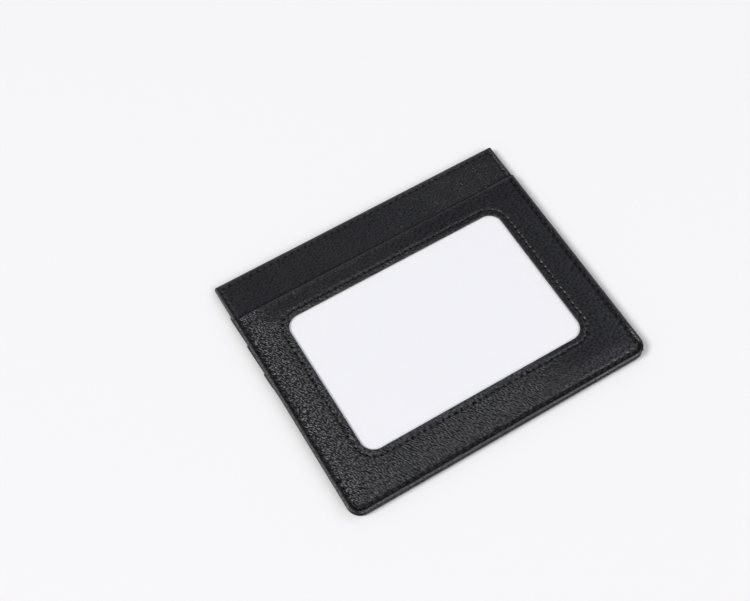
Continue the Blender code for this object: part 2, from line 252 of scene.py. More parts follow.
class StitchRow:
    """One row of stitches in the plane of the wallet."""

    def __init__(self, corners, radius, pitch, closed=False):
        self.points, self.length = rounded_path(corners, radius, closed)
        self.count = round(self.length / pitch)
        self.pitch = self.length / self.count
        self.tree = kdtree.KDTree(len(self.points))
        for index, (x, y) in enumerate(self.points):
            self.tree.insert((x, y, 0), index)
        self.tree.balance()

    def measure(self, x, y):
        """Distance from the line and from the nearest needle hole, and how pinched it is."""
        found = [self.tree.find((a, b, 0)) for a, b in zip(x, y)]
        away = np.array([distance for _, _, distance in found])
        along = np.array([index for _, index, _ in found]) / (len(self.points) - 1)
        turns = along * self.count
        to_hole = (turns - np.rint(turns)) * self.pitch
        pinch = 0.5 + 0.5 * np.cos(2 * math.pi * turns)
        return away, np.hypot(away, to_hole), pinch

    def near(self, x, y):
        """Distance, distance from a hole and pinch. Far from the row they are level."""
        low, high = self.points.min(0) - ROW_REACH, self.points.max(0) + ROW_REACH
        close = (x > low[0]) & (x < high[0]) & (y > low[1]) & (y < high[1])
        away, hole, pinch = (np.full(len(x), level) for level in (FAR, FAR, 0.5))
        away[close], hole[close], pinch[close] = self.measure(x[close], y[close])
        return away, hole, pinch

    def dashes(self, x, y):
        """Short dents along the row, centred on the needle holes."""
        away, hole, _ = self.near(x, y)
        return bump(away, 0, DASH_WIDTH) * np.exp(-(hole ** 2 - away ** 2) / DASH_LENGTH ** 2)

    def pressed(self, x, y, depth, width):
        """A pressed line that is deepest at its needle holes."""
        away, hole, pinch = self.near(x, y)
        return (depth * (1 - SLACK + SLACK * pinch) * bump(away, 0, width)
                + HOLE_SHARE * depth * bump(hole, 0, HOLE_WIDTH))


print("leather is marked up to", ROW_REACH, "mm from a row")

# %% [markdown]
# ## The three rows
#
# One seam runs down the left side, along the foot and up the right side, through all plies.
# One row holds the turned edge of the mouth, and a ring holds the film round the window.

# %% Seam, mouth row and ring
SEAM_PITCH, WINDOW_PITCH = 2.4, 2.1
SEAM_INSET = 1.5        # a seam lies this far inside the edge that it sews
RING_OUT = 2.1          # the ring lies this far outside the window
SEAM_STOP = 0.4         # the side seams end this far below the mouth
MOUTH_ROW_STOP = 1.0    # the mouth row ends this far short of them
SEAM_HALF, SEAM_FOOT = BODY_HALF - SEAM_INSET, FOOT + SEAM_INSET
MOUTH_ROW = MOUTH - SEAM_INSET
SEAM_TOP = MOUTH - SEAM_STOP
seam = StitchRow([(-SEAM_HALF, SEAM_TOP), (-SEAM_HALF, SEAM_FOOT), (SEAM_HALF, SEAM_FOOT),
                  (SEAM_HALF, SEAM_TOP)], FOOT_RADIUS - SEAM_INSET, SEAM_PITCH)
mouth_row = StitchRow([(-SEAM_HALF + MOUTH_ROW_STOP, MOUTH_ROW),
                       (SEAM_HALF - MOUTH_ROW_STOP, MOUTH_ROW)], 0, SEAM_PITCH)
ring_half = WINDOW_HALF + RING_OUT
ring_low, ring_high = WINDOW_LOW - RING_OUT, WINDOW_HIGH + RING_OUT
ring = StitchRow([(-ring_half, ring_high), (-ring_half, ring_low), (ring_half, ring_low),
                  (ring_half, ring_high)], WINDOW_RADIUS + RING_OUT, WINDOW_PITCH, closed=True)
for label, row in (("seam", seam), ("mouth row", mouth_row), ("window ring", ring)):
    print(label, row.count, "stitches of", round(row.pitch, 2), "mm")

# %% [markdown]
# ## A leather blank
#
# A ply could be built from insets and extrusions, but sewn leather swells and dips by
# fractions of a millimetre everywhere. So each ply starts as a fine grid, cut to size like a
# leather blank. Its lines stand closer at the edges, where the leather is turned over, and
# the faces beside a row of stitches are subdivided once more.

# %% Blanks
EDGE_OFFSETS = (0.0, 0.02, 0.07, 0.15, 0.27)
CLEAR_SHARE = 0.4   # an even line stays this share of a step away from the close ones


def grid_lines(low, high, step, cuts=()):
    """Even grid lines, with close ones beside both ends and each cut, as (place, side)."""
    sharp = [(low, 1), (high, -1), *cuts]
    close = [place + side * offset for place, side in sharp for offset in EDGE_OFFSETS]
    even = [at for at in np.arange(low, high, step)
            if min(abs(at - line) for line in close) > CLEAR_SHARE * step]
    return np.array(sorted(close + even))


def cut_blank(name, columns, rows):
    """A flat grid whose lines stand at these places."""
    deselect()
    bpy.ops.mesh.primitive_grid_add(x_subdivisions=len(columns) - 1,
                                    y_subdivisions=len(rows) - 1, size=2 * MM)
    blank = bpy.context.object
    blank.name = blank.data.name = name
    places = get_points(blank)
    for k, lines in enumerate((columns, rows)):
        number = np.rint((places[:, k] + 1) / 2 * (len(lines) - 1)).astype(int)
        places[:, k] = lines[number]
    set_points(blank, places)
    return blank


print("edge lines at", EDGE_OFFSETS, "mm")

# %% [markdown]
# ## From blank to ply
#
# The blank is still square. A corner is rounded by drawing its points in towards the corner's
# centre, so that each square ring of the grid becomes a round one. Round a window the same
# move works outwards, and it fades before it reaches the outer edge.

# %% Rounding corners
def round_corner(x, y, centre, side, full=math.inf, end=math.inf):
    """Draws the square grid beyond a corner's centre onto circles, fading from full to end."""
    across, along = (x - centre[0]) * side[0], (y - centre[1]) * side[1]
    corner = (across > 0) & (along > 0)
    size = np.maximum(across, along)
    pull = np.where(corner, size / np.maximum(np.hypot(across, along), 1e-9), 1.0)
    if end < math.inf:
        pull = 1 + (pull - 1) * (1 - smooth(size, full, end))
    return (np.where(corner, centre[0] + side[0] * across * pull, x),
            np.where(corner, centre[1] + side[1] * along * pull, y))


def round_sheet(x, y, half, foot, mouth, foot_radius=FOOT_RADIUS):
    for side in (-1, 1):
        for radius, end, rise in ((foot_radius, foot, -1), (MOUTH_RADIUS, mouth, 1)):
            centre = (side * (half - radius), end - rise * radius)
            x, y = round_corner(x, y, centre, (side, rise))
    return x, y


print("corners of the foot are turned at", FOOT_RADIUS, "mm, of the mouth at", MOUTH_RADIUS)

# %% [markdown]
# ## Closing a ply
#
# Two copies of a blank become the upper and the lower face. At every free edge both meet
# halfway up, in the half-round of a turned edge, and there they are merged.

# %% Closing
WELD = 0.002        # points that are nearer to each other are merged


def turned(distance, radius):
    """Share of the full thickness at this distance inside a rounded edge."""
    return np.sqrt(1 - (1 - np.clip(distance / radius, 0, 1)) ** 2)


def between(low, high, share):
    """Both faces, drawn together about their middle to this share of the thickness."""
    middle, half = (low + high) / 2, (high - low) / 2
    return middle - half * share, middle + half * share


def copy_of(item, name):
    twin = item.copy()
    twin.data = item.data.copy()
    twin.name = twin.data.name = name
    bpy.context.scene.collection.objects.link(twin)
    return twin


def make_ply(name, columns, rows, shape, fine=(), face=1, cut=None):
    """A ply with shape(flat x, flat y) as (x, y, low, high). Some faces can be cut out, and
    the face that shows, upper (1) or lower (-1), is subdivided at each fine(x, y)."""
    shown = cut_blank(name, columns, rows)
    if cut:
        edit_faces(shown, cut(*face_centres(shown)), bpy.ops.mesh.delete, type="FACE")
    plain = copy_of(shown, "plain_face")
    for chosen in fine:
        edit_faces(shown, chosen(*face_centres(shown)), bpy.ops.mesh.subdivide)
    upper, lower = (shown, plain) if face > 0 else (plain, shown)
    for item, pick in ((upper, 3), (lower, 2)):
        shaped = shape(*get_points(item).T[:2])
        set_points(item, np.stack([shaped[0], shaped[1], shaped[pick]], 1))
    edit_faces(lower, [True] * len(lower.data.polygons), bpy.ops.mesh.flip_normals)
    choose(lower, upper)
    bpy.ops.object.join()
    edit_faces(upper, [True] * len(upper.data.polygons), bpy.ops.mesh.remove_doubles,
               threshold=WELD * MM)
    bpy.ops.object.shade_smooth()
    upper.name = upper.data.name = name
    return upper


def report(item):
    item.data.calc_loop_triangles()
    print(item.name, len(item.data.loop_triangles), "triangles")


print("a turned edge is", round(float(turned(0.1, 0.2)), 2), "full at half its radius")

# %% [markdown]
# ## Colours and nodes
#
# Colours are written as on a screen, in hex, and one function turns them to the linear values
# that shaders use. One small function adds a node with its settings and links. The others use
# it for what every finish needs: a mix of two colours, a relief and a sum.

# %% Colour and node helpers
def linear(code):
    """Linear colour from a hex sRGB code."""
    parts = [int(code[k:k + 2], 16) / 255 for k in (1, 3, 5)]
    return (*[p / 12.92 if p <= 0.04045 else ((p + 0.055) / 1.055) ** 2.4 for p in parts], 1.0)


def add_node(tree, kind, output, settings=None, **inputs):
    """One output of a new node. Inputs are values or outputs, by name, or as i0 by number."""
    node = tree.nodes.new("ShaderNode" + kind)
    for key, value in (settings or {}).items():
        setattr(node, key, value)
    for key, value in inputs.items():
        socket = node.inputs[int(key[1:]) if key[1:].isdigit() else key.replace("_", " ")]
        if isinstance(value, bpy.types.NodeSocket):
            tree.links.new(value, socket)
        else:
            socket.default_value = value
    return node.outputs[output]


def new_material(name, **values):
    """A Principled material. Values that are even all over are set on the shader itself."""
    material = bpy.data.materials.new(name)
    material.use_nodes = True
    shader = material.node_tree.nodes["Principled BSDF"]
    for key, value in values.items():
        shader.inputs[key.replace("_", " ")].default_value = value
    return material, material.node_tree, shader


def mix(tree, share, start, end):
    """Colour between two others. Each is a hex code or another node's output."""
    start, end = (linear(part) if isinstance(part, str) else part for part in (start, end))
    return add_node(tree, "Mix", 2, {"data_type": "RGBA"}, i0=share, i6=start, i7=end)


def add_relief(tree, shader, height, depth, strength, invert=False):
    """Makes a finish look raised or sunk by a depth in millimetres."""
    relief = add_node(tree, "Bump", 0, {"invert": invert}, Distance=depth * MM,
                      Strength=strength, Height=height)
    tree.links.new(relief, shader.inputs["Normal"])


def compute(tree, operation, *values):
    """Result of a sum on values or outputs."""
    return add_node(tree, "Math", 0, {"operation": operation},
                    **{f"i{number}": value for number, value in enumerate(values)})


def per_mm(size):
    """Texture scale at which one cell or wave has this size in millimetres."""
    return 1 / (size * MM)


print("mid grey on a screen is", round(linear("#808080")[0], 3), "of white in light")

# %% [markdown]
# ## Grained leather
#
# The wallet is black calf leather, plated with a fine pebble grain: low cushions under half a
# millimetre wide and about twice as long, with creases between them and wrinkles across them.
# The cushions catch the lamp on one side and the creases stay dark, also because shade is
# painted into them in the finish below. Most of what the eye sees comes from the bump.

# %% Grain
GRAIN_ANGLE = math.radians(30)
GRAIN_STRETCH = 2.6
DRIFT_SIZE, DRIFT = 5, 0.9                  # the pattern wanders this far over this size
CUSHION_BLEND, CUSHION_PLAY = 0.06, 0.8     # how soft and how uneven the cushions are
WRINKLE_SIZE, WRINKLE_SHARE = 0.8, 0.55     # width and height against a cushion's


def attribute(tree, name):
    return add_node(tree, "Attribute", "Fac", {"attribute_name": name})


def grain(tree, cushion):
    """The stretched place on the skin, and how deep its grain is there."""
    place = add_node(tree, "TexCoord", "Object")
    drift = add_node(tree, "TexNoise", "Color", Vector=place, Scale=per_mm(DRIFT_SIZE),
                     Detail=1.0)
    drift = add_node(tree, "VectorMath", 0, {"operation": "SCALE"}, i0=drift, Scale=DRIFT * MM)
    place = add_node(tree, "VectorMath", 0, {"operation": "ADD"}, i0=place, i1=drift)
    place = add_node(tree, "Mapping", 0, {"vector_type": "TEXTURE"}, Vector=place,
                     Rotation=(0, 0, GRAIN_ANGLE), Scale=(1.0, GRAIN_STRETCH, 1.0))
    cushions = add_node(tree, "TexVoronoi", "Distance",
                        {"voronoi_dimensions": "2D", "feature": "SMOOTH_F1"}, Vector=place,
                        Scale=per_mm(cushion), Smoothness=CUSHION_BLEND,
                        Randomness=CUSHION_PLAY)
    wrinkles = add_node(tree, "TexNoise", "Fac", Vector=place,
                        Scale=per_mm(cushion * WRINKLE_SIZE), Detail=1.5)
    rounded = compute(tree, "POWER", cushions, 2.0)
    return place, compute(tree, "MULTIPLY_ADD", wrinkles, -WRINKLE_SHARE, rounded)


print("grain is stretched", GRAIN_STRETCH, "times")

# %% [markdown]
# ## Leather finish
#
# The skin is dyed and sprayed black. Shade is painted into the creases, which are darker and
# less shiny than the tops of the cushions. Each point of the mesh keeps three shares: how deep
# the grain is there, how rubbed a turned edge is, which also lightens it as a painted
# highlight, and how much painted shade darkens a needle hole, the seam valley or a gap between
# plies.

# %% Leather material
# Creases get a darker colour and less shine than the cushions' tops: painted shade.
CREASE_AT, CUSHION_AT = 0.0, -0.28      # depths that count as a crease and as a cushion's top
CREASE_SHINE, CUSHION_SHINE = 0.4, 0.95
# Rubbed edges take this paler colour: wear and a painted highlight.
RUBBED_HIGHLIGHT_COLOUR, RUBBED_DULLER = "#403E3E", 0.06
PATCH_SIZE, SMOOTHER, DULLER = 14, 0.04, 0.05      # the gloss changes slowly in patches


def leather_material(name, cushion, depth, colour, crease_shade_colour, roughness):
    material, tree, shader = new_material(name, Roughness=roughness)
    place, depths = grain(tree, cushion)
    add_relief(tree, shader, depths, depth, attribute(tree, "relief"), invert=True)
    # The grain's depth paints shade into the creases, in colour and in shine.
    lit = add_node(tree, "MapRange", 0, Value=depths, From_Min=CREASE_AT, From_Max=CUSHION_AT)
    rubbed_and_highlight = attribute(tree, "rubbed_and_highlight")
    # Rubbed edges turn paler: wear and a painted highlight.
    shade_and_highlight = mix(tree, rubbed_and_highlight, mix(tree, lit, crease_shade_colour, colour), RUBBED_HIGHLIGHT_COLOUR)
    # The 'hole' share is painted shade: needle holes, the seam valley and gaps between plies
    # turn black and lose their shine.
    unshaded = compute(tree, "SUBTRACT", 1.0, attribute(tree, "hole"))
    tree.links.new(mix(tree, unshaded, "#000000", shade_and_highlight), shader.inputs["Base Color"])
    shine = add_node(tree, "MapRange", 0, Value=lit, To_Min=CREASE_SHINE, To_Max=CUSHION_SHINE)
    shine = compute(tree, "MULTIPLY", shine, unshaded)
    tree.links.new(shine, shader.inputs["Specular IOR Level"])
    patches = add_node(tree, "TexNoise", "Fac", Vector=place, Scale=per_mm(PATCH_SIZE),
                       Detail=3.0)
    gloss = add_node(tree, "MapRange", 0, Value=patches, From_Min=0.3, From_Max=0.7,
                     To_Min=roughness - SMOOTHER, To_Max=roughness + DULLER)
    polished = compute(tree, "MULTIPLY_ADD", rubbed_and_highlight, RUBBED_DULLER, gloss)
    tree.links.new(polished, shader.inputs["Roughness"])
    return material


panel_leather = leather_material("pebbled_calf_leather", cushion=0.44, depth=0.34,
                                 colour="#151518", crease_shade_colour="#09090A", roughness=0.33)
wall_leather = leather_material("fine_calf_leather", cushion=0.38, depth=0.12,
                                colour="#121215", crease_shade_colour="#0A0A0C", roughness=0.36)
print("made", panel_leather.name, "and", wall_leather.name)

# %% [markdown]
# ## Marks on a ply
#
# A turned edge is rubbed pale, which also serves as a painted highlight, and the grain is
# flatter there. Needle holes are dents, longer along the row than across it, with shade painted
# into them. These marks are worked out from the same rows and edges as the shapes, so the
# finish always lies where the shape is.

# %% Finishing a ply
RUBBED_FLATTER = 0.1    # a rubbed edge loses this share of its grain
# Needle holes are darkened by this share: painted shade.
HOLE_SHADE = 0.9


def mark(item, name, share):
    """Keeps a share from 0 to 1 for each point of the mesh, under this name."""
    item.data.attributes.new(name, "FLOAT", "POINT").data.foreach_set(
        "value", np.broadcast_to(share, len(item.data.vertices)).astype(np.float32))


def finish_leather(item, rubbed_and_highlight, rows, relief=1.0, painted_shade=0.0):
    """Marks rubbed edges with their painted highlight, how deep the grain is, and painted shade
    in needle holes and other places.
    """
    x, y, _ = get_points(item).T
    mark(item, "rubbed_and_highlight", rubbed_and_highlight)
    mark(item, "relief", relief * (1 - RUBBED_FLATTER * rubbed_and_highlight))
    mark(item, "hole", np.maximum(painted_shade, HOLE_SHADE * sum(row.dashes(x, y) for row in rows)))


def fit(item, node, material, body="wallet"):
    """The piece stands for a frame node, moves with its body and takes its finish."""
    item.data.materials.clear()
    item.data.materials.append(material)
    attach(item, body)
    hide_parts(node)
    report(item)


print("a rubbed edge keeps", 1 - RUBBED_FLATTER, "of its grain")

# %% [markdown]
# ## Window panel
#
# The edges of the front ply are turned and sewn down on three sides, so they stand as a bead
# outside the stitches. Inside them the leather climbs over the film and insert and swells
# softly, until a ring of stitches holds it down round the window. The upper edge is a folded
# hem, which stays open because the insert goes in there. These forms depend on how far a
# point is inside the sewn edges, below the hem and outside the window.

# %% Levels and distances on the panel
STEP = 0.52                             # spacing of the grid on leather that shows
PLY_GAP = 0.05
SEAM_LOW, FIELD_LOW = WALL[1].z + PLY_GAP, FILM[1].z + PLY_GAP
SEAM_HIGH, FIELD_HIGH = SEAM_LOW + 0.57, FILM[1].z + 0.6    # each with its thickness
FLATTER, RIGHT_SIDE = 0.6, (20, 45)     # the edge is pressed flatter as x goes over this range
RINGS_ROUND, RINGS_SQUARE = 3.2, 7.4    # outside the window the grid is round, then square


def wander(x, y, size):
    """Slow random height between -1 and 1, whose hills are about this far apart."""
    return np.array([noise.noise((a / size, b / size, 0.5)) for a, b in zip(x, y)])


def panel_measures(x, y):
    """Distances inside the sewn edges, below the hem and outside the window."""
    sewn = np.minimum(PANEL_HALF - abs(x), y - FOOT)
    outside = np.maximum(abs(x) - WINDOW_HALF, np.maximum(WINDOW_LOW - y, y - WINDOW_HIGH))
    return sewn, PANEL_MOUTH - y, outside


def round_window(x, y):
    """Turns the square rings of the grid round the window into rounded ones."""
    for side in (-1, 1):
        for end, rise in ((WINDOW_LOW, -1), (WINDOW_HIGH, 1)):
            centre = (side * (WINDOW_HALF - WINDOW_RADIUS), end - rise * WINDOW_RADIUS)
            x, y = round_corner(x, y, centre, (side, rise), WINDOW_RADIUS + RINGS_ROUND,
                                WINDOW_RADIUS + RINGS_SQUARE)
    return x, y


def fullness(x, y):
    """How full the turned edge is: the right side is pressed flatter than the others."""
    return 1 - FLATTER * smooth(x, *RIGHT_SIDE) * smooth(y, FOOT + 4, FOOT + 12)


print("seam", round(SEAM_HIGH, 2), "mm and field", round(FIELD_HIGH, 2), "mm above the table")

# %% [markdown]
# ## Surface of the panel
#
# Four forms are added up: the turned edge with the climb inside it, which each stitch puckers,
# the swell of the field, the hem that leans on the insert, and the ring with its needle dents
# and the soft roll inside it. The heights have names, and the places are written where they
# are used: smooth() takes a start and an end, bump() a middle and a width.

# %% Surface of the panel
BEAD, VALLEY = 0.16, 0.42       # the turned edge stands out, and falls this far to the stitches
SEAM_DENT, PUCKER = 0.10, 0.35  # what each stitch does to the valley, and to the climb
RAGGED, RAGGED_SIZE = 0.15, 3
SWELL, SWELL_PLAY, SWELL_SIZE = 0.17, 0.30, 13
HEM_DROP, HEM_FOLD = 0.24, 0.09
RING_PUFF, RING_LINE, RING_DENT, ROLL = 0.11, 0.06, 0.22, 0.14


def turned_edge(x, y, sewn):
    """Height of bead, seam valley and puckered climb."""
    full = fullness(x, y)
    away, hole, pinch = seam.near(x, y)
    high = SEAM_HIGH + BEAD * full * smooth(sewn, 0.0, 0.7)
    high -= VALLEY * full * smooth(sewn, 0.62, 1.35) + SEAM_DENT * bump(hole, 0, 0.35)
    pull = PUCKER * (pinch - 0.5) * bump(away, 0.6, 0.9)
    inner = sewn - pull - RAGGED * wander(x, y, RAGGED_SIZE)
    rise = FIELD_HIGH - SEAM_HIGH + (VALLEY - BEAD) * full
    return high + rise * (0.5 * smooth(inner, 1.95, 2.95) + 0.5 * smooth(sewn, 2.2, 6.5))


def sewn_ring(x, y, outside):
    """Puffs outside the ring, the roll inside it, and its line with the needle dents."""
    away, _, pinch = ring.near(x, y)
    high = RING_PUFF * bump(away, 0.85, 0.5) * (outside > RING_OUT) * (1.3 - pinch)
    high += ROLL * smooth(RING_OUT - outside, 0.0, 0.8) * smooth(outside, -0.4, 0.5)
    return high - RING_LINE * bump(away, 0, 0.32) - RING_DENT * ring.dashes(x, y)


def panel_surface(x, y, sewn, below, outside):
    """Height of the upper face."""
    swell = smooth(sewn, 3.0, 9.0) * smooth(outside, RING_OUT, RING_OUT + 4.0)
    swell *= smooth(below, 2.0, 7.0) * (1 + SWELL_PLAY * wander(x, y, SWELL_SIZE))
    lean = HEM_DROP * (1 - smooth(below, 0.8, 5.2)) * smooth(sewn, 2.0, 5.0)
    high = turned_edge(x, y, sewn) + SWELL * swell - lean
    return high + HEM_FOLD * bump(below, 0.45, 0.4) + sewn_ring(x, y, outside)


print("bead", BEAD, "valley", round(BEAD - VALLEY, 2), "mm from the seam's level")

# %% [markdown]
# ## Both faces of the panel
#
# The under face is plainer: flat at the seams, and higher where it climbs over the film.

# %% Shape of the panel
EDGE_TURN, FOLD_TURN = 0.55, 0.3        # radii of the sewn edges, and of hem and window
HEM_BEND, BEND_DEPTH = 0.6, 7.0


def hem_bend(x):
    """The hem bends up towards the mouth at its right end, where the seam pulls it."""
    return HEM_BEND * smooth(x, 38, 49)


def shape_panel(x, y):
    sewn, below, outside = panel_measures(x, y)
    x, y = round_window(*round_sheet(x, y, PANEL_HALF, FOOT, PANEL_MOUTH))
    y = y + hem_bend(x) * (1 - smooth(below, 0.0, BEND_DEPTH))
    high = panel_surface(x, y, sewn, below, outside)
    climb = smooth(sewn, 3.1, 3.6)
    low = SEAM_LOW + (FIELD_LOW - SEAM_LOW) * climb
    low -= HEM_DROP * (1 - smooth(below, 0.6, 3.6)) * climb
    share = turned(sewn, EDGE_TURN) * turned(below, FOLD_TURN) * turned(outside, FOLD_TURN)
    return x, y, *between(low, high, share)


print("hem bent by", [round(float(hem_bend(x)), 2) for x in (30, 42, 46, 50)], "mm")

# %% [markdown]
# ## Cutting the panel
#
# The grid is refined twice beside the stitches. The grain is deepest on the left, and pressing
# has flattened it towards the right, along the hem and in the seam valley. Shade is painted
# into the seam valley.

# %% Window panel
# The second share darkens the seam valley as painted shade.
VALLEY_FLAT, VALLEY_SHADE = 0.6, 0.6
FADE_RIGHT, FADE_HEM, GRAIN_LEAST = 0.75, 0.5, 0.25


def in_window(x, y):
    return panel_measures(x, y)[2] < 0


def near_stitches(x, y):
    sewn, _, outside = panel_measures(x, y)
    return (sewn < 3.1) | (outside < RING_OUT + 1.3)


def at_stitches(x, y):
    sewn, _, outside = panel_measures(x, y)
    return (abs(sewn - 1.7) < 0.65) | (abs(outside - RING_OUT) < 0.52)


panel = make_ply(
    "window_panel_leather",
    grid_lines(-PANEL_HALF, PANEL_HALF, STEP, ((-WINDOW_HALF, -1), (WINDOW_HALF, 1))),
    grid_lines(FOOT, PANEL_MOUTH, STEP, ((WINDOW_LOW, -1), (WINDOW_HIGH, 1))),
    shape_panel, (near_stitches, at_stitches), cut=in_window)
x, y, _ = get_points(panel).T
sewn, below, _ = panel_measures(x, y)
# The bead and the hem fold are rubbed: paler wear and a painted highlight.
rubbed_and_highlight = np.maximum(bump(sewn, 0.3, 0.32), 0.6 * bump(below, 0.15, 0.3))
deep = 1 - FADE_RIGHT * smooth(x, 5, 42) - FADE_HEM * smooth(y, 19, 25) * smooth(x, -46, -40)
# The seam valley: its grain is flattened, and shade is painted into it.
pressed = bump(sewn, 1.7, 0.7)
deep = np.maximum(deep, GRAIN_LEAST) * (1 - VALLEY_FLAT * pressed)
finish_leather(panel, rubbed_and_highlight, (seam, ring), deep, VALLEY_SHADE * pressed)
fit(panel, "window_panel", panel_leather)

# %% [markdown]
# ## Walls of the centre pocket
#
# The taller ply behind the panel shows as a strip along the mouth. A row of stitches holds its
# turned edge, and the side seams run up over it. The back wall has the same shape, face down.

# %% Shape of a wall
TRIM, COARSE = 0.6, 2.0     # the hidden part is trimmed back, and its grid is coarse
MOUTH_BEAD, SIDE_BEAD = 0.07, 0.15
STRIP_WAVE, STRIP_WAVE_SIZE = 0.05, 11
SEAM_PRESS, MOUTH_PRESS = (0.17, 0.3), (0.12, 0.26)     # depth and width of a pressed line


def visible_lines(low, high, from_place):
    """Grid lines that are close from a place up, and wide apart below it."""
    fine = grid_lines(from_place, high, STEP)[len(EDGE_OFFSETS):]
    corner = [line for line in grid_lines(low, from_place, STEP) if line < low + FOOT_RADIUS]
    wide = np.arange(low + FOOT_RADIUS + COARSE, from_place - COARSE, COARSE)
    return np.array([*corner, *wide, from_place, *fine])


def shape_wall(level_low, level_high, face):
    """Shape of a full wall whose seams show on its upper (1) or lower (-1) face."""
    def shape(x, y):
        below, side = MOUTH - y, BODY_HALF - abs(x)
        edge = np.minimum(np.minimum(side, y - FOOT), below)
        x, y = round_sheet(x, y, BODY_HALF, FOOT, MOUTH)
        shown = smooth(y, PANEL_MOUTH - 6, PANEL_MOUTH - 3)
        x = x * (1 - TRIM * (1 - smooth(y, PANEL_MOUTH - 1.5, PANEL_MOUTH)) / BODY_HALF)
        y = y + TRIM * (1 - smooth(y, FOOT, FOOT + 8))
        lift = MOUTH_BEAD * bump(below, 0.6, 0.35) + SIDE_BEAD * bump(side, 0.65, 0.4)
        lift += STRIP_WAVE * bump(below, 7.5, 3.0) * wander(x, y, STRIP_WAVE_SIZE)
        lift -= seam.pressed(x, y, *SEAM_PRESS) + mouth_row.pressed(x, y, *MOUTH_PRESS)
        lift *= shown
        low, high = level_low - lift * (face < 0), level_high + lift * (face > 0)
        return x, y, *between(low, high, turned(edge, 0.3))
    return shape


print("side bead", SIDE_BEAD, "mm, pressed seam", SEAM_PRESS[0], "mm")

# %% [markdown]
# ## Front and back wall
#
# Shade is painted onto the wall where it is hidden below the panel, so its trimmed edges are
# dark in the gap between plies, and onto the strip right behind the panel's hem.

# %% Front and back wall
# Painted shade: below the panel, and in a line behind its hem.
UNDER_PANEL_SHADE, BEHIND_HEM_SHADE = 0.8, 0.7
BODY_COLUMNS = grid_lines(-BODY_HALF, BODY_HALF, STEP)


def make_wall(name, node, face):
    def near_rows(x, y):
        below = MOUTH - y
        return (below < 16) & (np.minimum(BODY_HALF - abs(x), below) < 2.6)

    low, high = box_mm(node)
    wall = make_ply(name, BODY_COLUMNS, visible_lines(FOOT, MOUTH, PANEL_MOUTH - 4.0),
                    shape_wall(low.z, high.z, face), (near_rows,), face)
    x, y, _ = get_points(wall).T
    edge = np.minimum(BODY_HALF - abs(x), MOUTH - y)
    # Painted shade where the wall is hidden below the panel, and just behind the hem.
    under_panel = 1 - smooth(y, PANEL_MOUTH - 1, PANEL_MOUTH)
    behind_hem = bump(y, PANEL_MOUTH + hem_bend(x) + 0.45, 0.35)
    wall_shade = np.maximum(UNDER_PANEL_SHADE * under_panel, BEHIND_HEM_SHADE * behind_hem)
    deep = 0.7 + 0.6 * smooth(x, -30, 40)
    # The edges are rubbed: paler wear and a painted highlight.
    finish_leather(wall, bump(edge, 0.2, 0.4), (seam, mouth_row), deep, wall_shade)
    fit(wall, node, wall_leather)


make_wall("front_wall_leather", "front_wall", 1)
make_wall("back_wall_leather", "back_wall", -1)

# %% [markdown]
# ## Card slots on the back
#
# Two leather strips and one deep panel make the card slots. Each has a folded edge with a
# line pressed below it, and the folded ends stand a hair outside the wallet's sides.

# %% Slot strips
HEM_SPREAD, SPREAD_LENGTH = 0.7 * (HEM_HALF - BODY_HALF), 11.0  # the folds' ends are rounded
CREASE_DROP, CREASE_WIDTH = 3.0, 0.22
CREASE, FOLD_SWELL = 0.12, 0.05
STRIP_PRESS = (0.14, 0.3)


def spread(x, y, mouth):
    """Sides that lean out towards a folded edge."""
    lean = HEM_SPREAD * np.clip((y - mouth + SPREAD_LENGTH) / SPREAD_LENGTH, 0, 1)
    return x * (1 + lean / BODY_HALF)


def beside_lines(sewn, below):
    """Whether a face lies beside the seam or the pressed line."""
    return (abs(sewn - 1.6) < 1.1) | (abs(below - CREASE_DROP) < 0.6)


def make_strip(number):
    node, name = f"card_slot_{number}", f"slot_strip_{number}_leather"
    corner, (_, mouth, level_high) = box_mm(node)

    def shape(x, y):
        edge = np.minimum(np.minimum(BODY_HALF - abs(x), y - corner.y), mouth - y)
        below = mouth - y
        x, y = round_sheet(x, y, BODY_HALF, corner.y, mouth, MOUTH_RADIUS)
        x = spread(x, y, mouth)
        low = corner.z + CREASE * bump(below, CREASE_DROP, CREASE_WIDTH)
        low += seam.pressed(x, y, *STRIP_PRESS) - FOLD_SWELL * bump(below, 1.4, 0.9)
        return x, y, *between(low, level_high, turned(edge, 0.17))

    strip = make_ply(name, BODY_COLUMNS, grid_lines(corner.y, mouth, STEP), shape,
                     [lambda x, y: beside_lines(BODY_HALF - abs(x), mouth - y)], -1)
    # The folded mouth edge is rubbed: paler wear and a painted highlight.
    finish_leather(strip, bump(mouth - get_points(strip)[:, 1], 0.1, 0.4), (seam,))
    fit(strip, node, wall_leather)


for number in (1, 2):
    make_strip(number)

# %% [markdown]
# ## Lowest slot
#
# The lowest panel carries the thick turned edge of the wallet, which curls up off the table.
# Inside that rim it is one thin layer, with shade painted on its upper face where the gap
# between plies shows it.

# %% Lowest slot
SEAM_LIFT = 0.8             # the rim curls up by this much
SLOT_THICK = 0.45
RIM_END = box_mm("card_slot_2")[0].y - 0.3      # the rim ends below the strip above
SLOT_CREASE, SLOT_PRESS = 0.10, (0.18, 0.3)
# Painted shade on the upper face inside the rim, where the gap between plies shows it.
GAP_SHADE = 0.7


def slot_measures(x, y):
    """Distances inside the sewn edges and below the folded edge."""
    return np.minimum(BODY_HALF - abs(x), y - FOOT), SLOT[1].y - y


